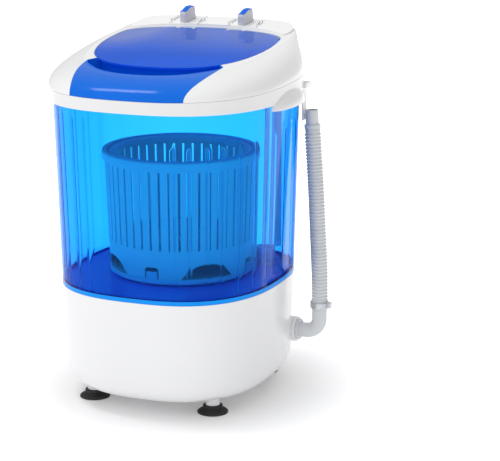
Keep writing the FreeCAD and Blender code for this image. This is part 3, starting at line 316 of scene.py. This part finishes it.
def nurbs_points(route, res=24):
    cu = bpy.data.curves.new("hose_line", "CURVE")
    cu.dimensions = "3D"
    sp = cu.splines.new("NURBS")
    sp.points.add(len(route) - 1)
    for p, r in zip(sp.points, route):
        p.co = (r[0] / 1000, r[1] / 1000, r[2] / 1000, 1)
    sp.order_u = 3
    sp.use_endpoint_u = True
    sp.resolution_u = res
    ob = bpy.data.objects.new("hose_line", cu)
    scene.collection.objects.link(ob)
    dg = bpy.context.evaluated_depsgraph_get()
    me = bpy.data.meshes.new_from_object(ob.evaluated_get(dg), depsgraph=dg)
    pts = [v.co.copy() for v in me.vertices]
    bpy.data.objects.remove(ob)
    bpy.data.curves.remove(cu)
    bpy.data.meshes.remove(me)
    return pts


hose_path = nurbs_points(ROUTE)
cum = [0.0]
for a, b in zip(hose_path, hose_path[1:]):
    cum.append(cum[-1] + (b - a).length)
HOSE_LEN = cum[-1]


def along(s):
    s = min(max(s, 0.0), HOSE_LEN)
    k = 0
    while k < len(cum) - 2 and cum[k + 1] < s:
        k += 1
    u = (s - cum[k]) / max(1e-9, cum[k + 1] - cum[k])
    p = hose_path[k].lerp(hose_path[k + 1], u)
    t = (hose_path[k + 1] - hose_path[k]).normalized()
    return p, t


def tube_rings(stations, around=40):
    """Closed tube of rings (arc length, radius); the first and last ring are joined by the caller's own order."""
    verts, faces = [], []
    for s, r in stations:
        p, t = along(s)
        x = Vector((0, 1, 0)).cross(t).normalized()
        y = t.cross(x).normalized()
        for k in range(around):
            a = 2 * math.pi * k / around
            verts.append(p + (x * math.cos(a) + y * math.sin(a)) * r)
    n = len(stations)
    for i in range(n):
        j = (i + 1) % n
        for k in range(around):
            k2 = (k + 1) % around
            faces.append((i * around + k, i * around + k2, j * around + k2, j * around + k))
    return verts, faces


PITCH = 0.0052
stations = [(0.0, 0.0122), (0.012, 0.0122), (0.0126, 0.0110)]
s = 0.0136
while s < HOSE_LEN - 0.006:
    stations += [(s, 0.0109), (s + PITCH * 0.14, 0.0120), (s + PITCH * 0.24, 0.01245), (s + PITCH * 0.46, 0.01245), (s + PITCH * 0.56, 0.0120), (s + PITCH * 0.70, 0.0109)]
    s += PITCH
stations += [(HOSE_LEN - 0.003, 0.0112), (HOSE_LEN, 0.0112), (HOSE_LEN, 0.0099), (0.0, 0.0099)]
hv, hf = tube_rings(stations)
hose = mesh_piece("corrugated_hose", hv, hf, MAT["hose_grey"], "hose")
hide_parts("drain_hose")

# ---------------------------------------------------------- body outlines
AXY = 12.7
JOINT_Z = 175.6


def body_radius(t, a, f, r):
    c, s_ = math.cos(t), math.sin(t)
    b, n = (f, 2.61) if s_ < 0 else (r, 2.5)
    return (abs(c / a) ** n + abs(s_ / b) ** n) ** (-1.0 / n)


def tub_scale(z):
    return 0.926 + (z - JOINT_Z) * 0.000146


def smooth(u):
    u = min(1.0, max(0.0, u))
    return u * u * (3 - 2 * u)


def tub_radius(t, z):
    k = tub_scale(z)
    return body_radius(t, 176.0 * k, 200.4 * k, 175.0 * k)


def side_recess(y, z):
    """Shallow hand recess in both side walls, below the grips."""
    return 5.0 * smooth((y + 62.0) / 26.0) * smooth((80.0 - y) / 26.0) * smooth((z - 178.0) / 14.0)


def ring_seam(y):
    return 468.0 + 0.032 * (y + 187.7)


def deck_plane(y):
    return 502.5 + 0.1183 * (y + 93.3)


def deck_radius(t):
    c, s_ = math.cos(t), math.sin(t)
    lo, hi = 1.0, 400.0
    for _ in range(48):
        mid = 0.5 * (lo + hi)
        x, y = mid * c, AXY + mid * s_ - 107.7
        n, b = (2.6, 245.0) if y < 0 else (3.5, 71.0)
        if abs(x / 138.0) ** n + abs(y / b) ** n < 1.0:
            lo = mid
        else:
            hi = mid
    return 0.5 * (lo + hi)


# ------------------------------------------- shading of the carried-over mouldings
TABLE_N = 1440
SEAM_R = np.array([body_radius(2 * math.pi * k / TABLE_N, 175.7, 200.1, 174.7) for k in range(TABLE_N + 1)])
RING_R = np.array([body_radius(2 * math.pi * k / TABLE_N, 176.0, 200.4, 175.0) for k in range(TABLE_N + 1)])
DECK_R = np.array([deck_radius(2 * math.pi * k / TABLE_N) for k in range(TABLE_N + 1)])


def table_at(tab, t):
    u = (t % (2 * math.pi)) / (2 * math.pi) * TABLE_N
    k = np.clip(u.astype(int), 0, TABLE_N - 1)
    return tab[k] + (tab[k + 1] - tab[k]) * (u - k)


def f_cover(P):
    """Below 1 inside the dome of the top cover, above 1 outside."""
    x, y, z = P[:, 0], P[:, 1], P[:, 2]
    t = np.arctan2(y - AXY, x)
    rho = np.hypot(x, y - AXY)
    s0 = 468.0 + 0.032 * (y + 187.7) + 0.1
    tau = np.clip((z - s0) / (502.5 + 0.1183 * (y + 93.3) - s0), 0.0, 0.99999)
    g = 1.0 - np.sqrt(1.0 - tau * tau)
    return rho / ((1 - g) * table_at(SEAM_R, t) + g * table_at(DECK_R, t))


def f_ring(P):
    x, y = P[:, 0], P[:, 1]
    return np.hypot(x, y - AXY) / table_at(RING_R, np.arctan2(y - AXY, x))


def f_base(P):
    x, y, z = P[:, 0], P[:, 1], P[:, 2]
    t = np.arctan2(y - AXY, x)
    z1 = 56.0
    k = 0.926 + (np.maximum(z, z1) - JOINT_Z) * 0.000197
    low = np.clip((z1 - z) / 36.0, 0.0, 0.9999)
    inset = 36.0 * (1 - np.sqrt(1 - low * low))
    # an inset of a scaled outline, to first order
    r = table_at(RING_R, t) * k
    return np.hypot(x, y - AXY) / (r - inset * 1.04)


def gradient(f, P, h=0.15):
    g = np.zeros_like(P)
    for k in range(3):
        d = np.zeros(3)
        d[k] = h
        g[:, k] = f(P + d) - f(P - d)
    return g / np.maximum(1e-12, np.linalg.norm(g, axis=1))[:, None]


def cad_normals(name, f=None, tol=0.02, angle=32.0, near=25.0):
    """Shades a carried-over mesh: corners get the true surface normal where f holds, else a mean over its smooth neighbours."""
    me = NODES[name].data
    nv, nl, npoly = len(me.vertices), len(me.loops), len(me.polygons)
    co = np.zeros(nv * 3)
    me.vertices.foreach_get("co", co)
    co = co.reshape(-1, 3) * 1000.0
    lv = np.zeros(nl, int)
    me.loops.foreach_get("vertex_index", lv)
    start = np.zeros(npoly, int)
    me.polygons.foreach_get("loop_start", start)
    tot = np.zeros(npoly, int)
    me.polygons.foreach_get("loop_total", tot)
    if npoly == 0 or tot.max() != 3:
        return
    tri = lv.reshape(-1, 3)
    p0, p1, p2 = co[tri[:, 0]], co[tri[:, 1]], co[tri[:, 2]]
    fn = np.cross(p1 - p0, p2 - p0)
    area2 = np.linalg.norm(fn, axis=1)
    fnu = fn / np.maximum(1e-12, area2)[:, None]
    _, group = np.unique(np.round(co / 0.004).astype(np.int64), axis=0, return_inverse=True)
    group = group.reshape(-1)
    corner_group = group[tri.reshape(-1)]
    corner_face = np.repeat(np.arange(npoly), 3)
    # angle at each corner as weight
    pts = np.stack([p0, p1, p2], 1)
    w = np.zeros((npoly, 3))
    for k in range(3):
        u = pts[:, (k + 1) % 3] - pts[:, k]
        v = pts[:, (k + 2) % 3] - pts[:, k]
        cu = np.einsum("ij,ij->i", u, v) / np.maximum(1e-12, np.linalg.norm(u, axis=1) * np.linalg.norm(v, axis=1))
        w[:, k] = np.arccos(np.clip(cu, -1, 1))
    w = w.reshape(-1)
    w[area2.repeat(3) < 1e-9] = 0.0
    order = np.argsort(corner_group, kind="stable")
    gs = corner_group[order]
    first = np.searchsorted(gs, np.arange(gs[-1] + 2))
    out = fnu[corner_face].copy()
    ca = math.cos(math.radians(angle))
    size = first[1:] - first[:-1]
    # groups of one size are handled together
    for n in np.unique(size):
        if n < 2:
            continue
        gid = np.nonzero(size == n)[0]
        idx = order[first[gid][:, None] + np.arange(n)[None, :]]
        F = fnu[corner_face[idx]]
        W = w[idx]
        dots = np.einsum("gik,gjk->gij", F, F)
        M = (dots > ca) * W[:, None, :]
        N = np.einsum("gij,gjk->gik", M, F)
        L = np.linalg.norm(N, axis=2, keepdims=True)
        N = np.where(L > 1e-9, N / np.maximum(L, 1e-12), F)
        out[idx.reshape(-1)] = N.reshape(-1, 3)
    if f is not None:
        P = co[tri.reshape(-1)]
        on = np.abs(f(P) - 1.0) < tol
        if on.any():
            g = gradient(f, P)
            ok = on & (np.einsum("ij,ij->i", g, fnu[corner_face]) > math.cos(math.radians(near)))
            out[ok] = g[ok]
    me.polygons.foreach_set("use_smooth", [True] * npoly)
    me.normals_split_custom_set([tuple(v) for v in out])


for name, f in (("top_cover", f_cover), ("front_visor", f_cover), ("upper_ring", f_ring), ("base_housing", f_base)):
    cad_normals(name, f, tol=0.07 if name == "base_housing" else 0.02, near=42.0 if name == "base_housing" else 25.0)
for name in NODES:
    if name not in ("top_cover", "front_visor", "upper_ring", "base_housing", "wash_tub", "drain_hose", "wash_knob", "spin_knob"):
        cad_normals(name)

# ---------------------------------------------------------------- tinted tub
def rib_angles():
    """Directions of the upright ribs, with the height at which each ends."""
    out = []
    for side in (-1, 1):
        for y, top in ((-169.0, 404.0), (-161.0, 404.0), (-148.0, 404.0), (-133.0, 404.0), (-108.0, 404.0), (-80.0, 404.0), (-18.0, 404.0), (28.0, 404.0), (74.0, 404.0), (112.0, 404.0), (140.0, 404.0)):
            top += 36.0 if side < 0 else 0.0
            # the outline's direction at this y
            lo, hi = (-math.pi / 2, 0.0) if y < AXY else (0.0, math.pi / 2)
            for _ in range(50):
                mid = 0.5 * (lo + hi)
                if AXY + tub_radius(mid, 300.0) * math.sin(mid) < y:
                    lo = mid
                else:
                    hi = mid
            t = 0.5 * (lo + hi)
            out.append((t if side > 0 else math.pi - t, top))
    return out


RIBS = [((t + 2 * math.pi) % (2 * math.pi), top) for t, top in rib_angles()]


def tub_mesh():
    ang = {round(2 * math.pi * k / 216, 6) for k in range(216)}
    for t, top in RIBS:
        w = 1.2 / tub_radius(t, 300.0)
        ang = {a for a in ang if abs(a - t) > 2.2 * w}
        for d in (-1.5, -1.0, -0.45, 0.45, 1.0, 1.5):
            ang.add(round(t + d * w, 6))
    ang = sorted(ang)
    n = len(ang)

    def rib(t, z):
        best = 0.0
        for tr, top in RIBS:
            d = abs(t - tr) * tub_radius(tr, 300.0) / 1.2
            if d < 1.2 and z < top:
                best = max(best, 1.0 * (1.0 if d < 0.6 else max(0.0, (1.25 - d) / 0.65)) * smooth((top - z) / 5.0))
        return best

    rings = []
    zo = [JOINT_Z + 0.1, 177.0, 179.0, 182.0, 186.0, 190.0, 194.0, 205.0] + [220.0 + 12.0 * k for k in range(20)] + [458.0, 462.5]

    def ring(z, inset, ribs):
        pts = []
        for t in ang:
            r0 = tub_radius(t, z)
            y = AXY + r0 * math.sin(t)
            side = abs(math.cos(t)) > 0.55
            r = r0 - 0.35 - inset - (side_recess(y, z) if side else 0.0) - (rib(t, z) if ribs else 0.0)
            pts.append((r * math.cos(t) / 1000, (AXY + r * math.sin(t)) / 1000, z / 1000))
        return pts

    # outside wall upwards, top edge, inside wall downwards, floor inwards, underside outwards
    for z in zo:
        rings.append(ring(z, 0.0, False))
    rings.append(ring(463.0, 0.5, False))
    rings.append(ring(463.0, 2.1, False))
    zi = [462.5, 458.0] + [440.0, 436.0, 432.0, 430.0, 428.0, 426.0, 424.0, 420.0, 410.0, 404.0, 402.0, 400.0, 397.0] + [380.0 - 16 * k for k in range(12)] + [196.0, 190.0, 186.0]
    for z in zi:
        rings.append(ring(z, 2.6, True))
    rings.append(ring(183.0, 3.4, True))
    rings.append(ring(181.0, 5.2, False))
    rings.append(ring(179.9, 8.5, False))

    def floor_ring(f, z):
        pts = []
        for t in ang:
            r0 = tub_radius(t, 180.0) - 9.0
            r = r0 * f + 12.05 * (1 - f)
            pts.append((r * math.cos(t) / 1000, (AXY + r * math.sin(t)) / 1000, z / 1000))
        return pts

    for f, z in ((0.93, 179.6), (0.8, 179.6), (0.6, 179.6), (0.4, 179.6), (0.2, 179.6), (0.0, 179.6), (0.0, JOINT_Z + 0.1), (0.3, JOINT_Z + 0.1), (0.6, JOINT_Z + 0.1), (0.93, JOINT_Z + 0.1)):
        rings.append(floor_ring(f, z))
    wall_rings = len(zo) + 2 + len(zi) + 2
    verts = [v for r in rings for v in r]
    faces = []
    m = len(rings)
    for i in range(m):
        j = (i + 1) % m
        for k in range(n):
            k2 = (k + 1) % n
            faces.append((i * n + k, i * n + k2, j * n + k2, j * n + k))
    return verts, faces, wall_rings * n, 3 * n


tv, tf, wall_faces, foot_faces = tub_mesh()
tub = mesh_piece("tub_shell", tv, tf, MAT["tub_tint"], "cabinet")
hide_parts("wash_tub")
tub.data.materials.append(MAT["tub_floor"])
tub.data.materials.append(MAT["tub_foot"])
tub.data.polygons.foreach_set("material_index", [2 if k < foot_faces else 0 if k < wall_faces else 1 for k in range(len(tub.data.polygons))])

# ------------------------------------------------------- knobs and their dials
PANEL_N = Vector((0, -0.2126, 1.0)).normalized()
PANEL_Y = Vector((0, 1.0, 0.2126)).normalized()
PANEL_X = Vector((1, 0, 0))


def panel_z(y):
    return 532.0 + 0.2126 * (y - 130.7)


def on_panel(kx, x, y, z):
    o = Vector((kx, 153.7, panel_z(153.7)))
    return (o + PANEL_X * x + PANEL_Y * y + PANEL_N * z) / 1000


TURN = math.radians(-15.0)


def on_knob(kx, x, y, z):
    """Same, in the grip's own axes, which are turned a little at rest."""
    c, s_ = math.cos(TURN), math.sin(TURN)
    return on_panel(kx, x * c - y * s_, x * s_ + y * c, z)


def offset_loop(pts, d):
    """Closed 2-D loop moved inwards by d, corner by corner."""
    out = []
    n = len(pts)
    for i in range(n):
        a, b, c = Vector(pts[i - 1]), Vector(pts[i]), Vector(pts[(i + 1) % n])
        u, w = (b - a).normalized(), (c - b).normalized()
        nu, nw = Vector((-u.y, u.x)), Vector((-w.y, w.x))
        m = (nu + nw).normalized()
        k = d / max(0.35, m.dot(nu))
        out.append((b.x + m.x * k, b.y + m.y * k))
    return out


def s_top(y, lift=0.0):
    """Height of the grip's wavy top along its length."""
    return 17.0 + 3.3 * smooth((y + 9.5) / 13.0) - 0.9 * smooth((y - 3.0) / 10.0) + lift


def loft_slices(slices, place_fn, name, mat, body):
    n = len(slices[0][1])
    verts = [place_fn(x, y, z) for x, loop in slices for y, z in loop]
    faces = []
    for i in range(len(slices) - 1):
        for k in range(n):
            k2 = (k + 1) % n
            faces.append((i * n + k, i * n + k2, (i + 1) * n + k2, (i + 1) * n + k))
    faces.append(tuple(reversed(range(n))))
    faces.append(tuple((len(slices) - 1) * n + k for k in range(n)))
    ob = mesh_piece(name, verts, faces, mat, body)
    bm = bmesh.new()
    bm.from_mesh(ob.data)
    bmesh.ops.recalc_face_normals(bm, faces=bm.faces)
    bm.to_mesh(ob.data)
    bm.free()
    return ob


def knob(kx, body, name):
    top = [(12.3 - 24.6 * k / 22.0, s_top(12.3 - 24.6 * k / 22.0)) for k in range(23)]
    loop = [(-12.7, 0.45), (12.7, 0.45), (12.95, 3.0), (12.6, 14.5)] + top + [(-12.6, 12.0), (-12.95, 3.0)]
    xs = [(-6.0 + 1.1 * (1 - math.cos(math.radians(18.0 * k))), 1.1 * (1 - math.sin(math.radians(18.0 * k)))) for k in range(6)]
    sl = [(x, offset_loop(loop, d)) for x, d in xs]
    sl += [(-x, lp) for x, lp in reversed(sl)]
    ob = loft_slices(sl, lambda x, y, z: on_knob(kx, x, y, z), name, MAT["knob_white"], body)
    # blue inlay that follows the wavy top
    ys = [-12.0 + 24.0 * k / 24.0 for k in range(25)]
    verts, faces = [], []
    xs2 = [-5.2, -4.9, 4.9, 5.2]
    for y in ys:
        for x, h in zip(xs2, (0.1, 0.55, 0.55, 0.1)):
            verts.append(on_knob(kx, x, y, s_top(y, h)))
    for i in range(len(ys) - 1):
        for k in range(3):
            faces.append((i * 4 + k, i * 4 + k + 1, i * 4 + 5 + k, i * 4 + 4 + k))
    base = len(verts)
    for y in ys:
        for x in (-5.2, 5.2):
            verts.append(on_knob(kx, x, y, s_top(y, -0.6)))
    for i in range(len(ys) - 1):
        faces.append((base + 2 * i, i * 4, i * 4 + 4, base + 2 * i + 2))
        faces.append((i * 4 + 3, base + 2 * i + 1, base + 2 * i + 3, i * 4 + 7))
        faces.append((base + 2 * i + 1, base + 2 * i, base + 2 * i + 2, base + 2 * i + 3))
    faces.append((0, base, base + 1, 3, 2, 1))
    e = (len(ys) - 1) * 4
    eb = base + 2 * (len(ys) - 1)
    faces.append((e, e + 1, e + 2, e + 3, eb + 1, eb))
    inlay = mesh_piece(name + "_top", verts, faces, MAT["visor_blue"], body)
    bm = bmesh.new()
    bm.from_mesh(inlay.data)
    bmesh.ops.recalc_face_normals(bm, faces=bm.faces)
    bm.to_mesh(inlay.data)
    bm.free()
    return ob, inlay


for kx, body, node in ((-48.0, "wash_control", "wash"), (48.0, "spin_control", "spin")):
    k1, k2 = knob(kx, body, node + "_grip")
    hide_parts(node + "_knob")
    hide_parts(node + "_knob_inlay")

ink = material("grey_ink", (0.13, 0.135, 0.15), 0.5, noise=0.1, noise_scale=200, bump=0.05)


def dial(kx, labels, name):
    """Printed scale: two arcs with an arrow head each, tick marks and plain numbers."""
    verts, faces = [], []

    def quad_strip(points):
        base = len(verts)
        for (x0, y0), (x1, y1) in points:
            for x, y, z in ((x0, y0, 0.0), (x0, y0, 0.12), (x1, y1, 0.12), (x1, y1, 0.0)):
                verts.append(on_panel(kx, x, y, z + 0.02))
        for i in range(len(points) - 1):
            a, b = base + 4 * i, base + 4 * i + 4
            for k in range(4):
                k2 = (k + 1) % 4
                faces.append((a + k, a + k2, b + k2, b + k))
        faces.append((base + 3, base + 2, base + 1, base))
        e = base + 4 * (len(points) - 1)
        faces.append((e, e + 1, e + 2, e + 3))

    def polar(r, deg):
        a = math.radians(deg)
        return (r * math.sin(a), r * math.cos(a))

    for a0, a1 in ((58, 124), (236, 302)):
        quad_strip([(polar(25.3, a0 + (a1 - a0) * k / 20.0), polar(26.4, a0 + (a1 - a0) * k / 20.0)) for k in range(21)])
    for a0, a1 in ((60, 110), (250, 300)):
        # thick tapering band with a pointed end
        pts = []
        for k in range(21):
            u = k / 20.0
            w = 0.7 + 1.9 * u if u < 0.86 else 3.6 * (1 - u) / 0.14 * 0.72 + 0.05
            d = a0 + (a1 - a0) * u
            pts.append((polar(21.4 - w / 2, d), polar(21.4 + w / 2, d)))
        quad_strip(pts)
    n = len(labels)
    spots = []
    for k in range(n):
        d = (55 + (125 - 55) * k / (n / 2 - 1)) if k < n / 2 else (235 + (305 - 235) * (k - n / 2) / (n / 2 - 1))
        spots.append(d)
        p0, p1 = polar(23.6, d), polar(25.2, d)
        t = polar(1.0, d + 90)
        quad_strip([((p0[0] - t[0] * 0.25, p0[1] - t[1] * 0.25), (p0[0] + t[0] * 0.25, p0[1] + t[1] * 0.25)), ((p1[0] - t[0] * 0.25, p1[1] - t[1] * 0.25), (p1[0] + t[0] * 0.25, p1[1] + t[1] * 0.25))])
    ob = mesh_piece(name, verts, faces, ink, "cabinet", smooth=False)
    bm = bmesh.new()
    bm.from_mesh(ob.data)
    bmesh.ops.recalc_face_normals(bm, faces=bm.faces)
    bm.to_mesh(ob.data)
    bm.free()
    rot = Matrix((PANEL_X, PANEL_Y, PANEL_N)).transposed().to_4x4()
    for k, (d, label) in enumerate(zip(spots, labels)):
        cu = bpy.data.curves.new("%s_number_%d" % (name, k), "FONT")
        cu.body = label
        cu.size = 0.0046
        cu.align_x = "CENTER"
        cu.align_y = "CENTER"
        cu.extrude = 0.00006
        tmp = bpy.data.objects.new("tmp_text", cu)
        scene.collection.objects.link(tmp)
        dg = bpy.context.evaluated_depsgraph_get()
        me = bpy.data.meshes.new_from_object(tmp.evaluated_get(dg), depsgraph=dg)
        bpy.data.objects.remove(tmp)
        bpy.data.curves.remove(cu)
        x, y = polar(29.6, d)
        me.transform(Matrix.Translation(on_panel(kx, x, y, 0.08)) @ rot)
        me.materials.clear()
        me.materials.append(ink)
        t = bpy.data.objects.new("%s_number_%d" % (name, k), me)
        scene.collection.objects.link(t)
        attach(t, "cabinet")


dial(-48.0, ["0", "3", "6", "9", "12", "15"], "wash_dial")
dial(48.0, ["0", "1", "2", "3", "4", "5"], "spin_dial")
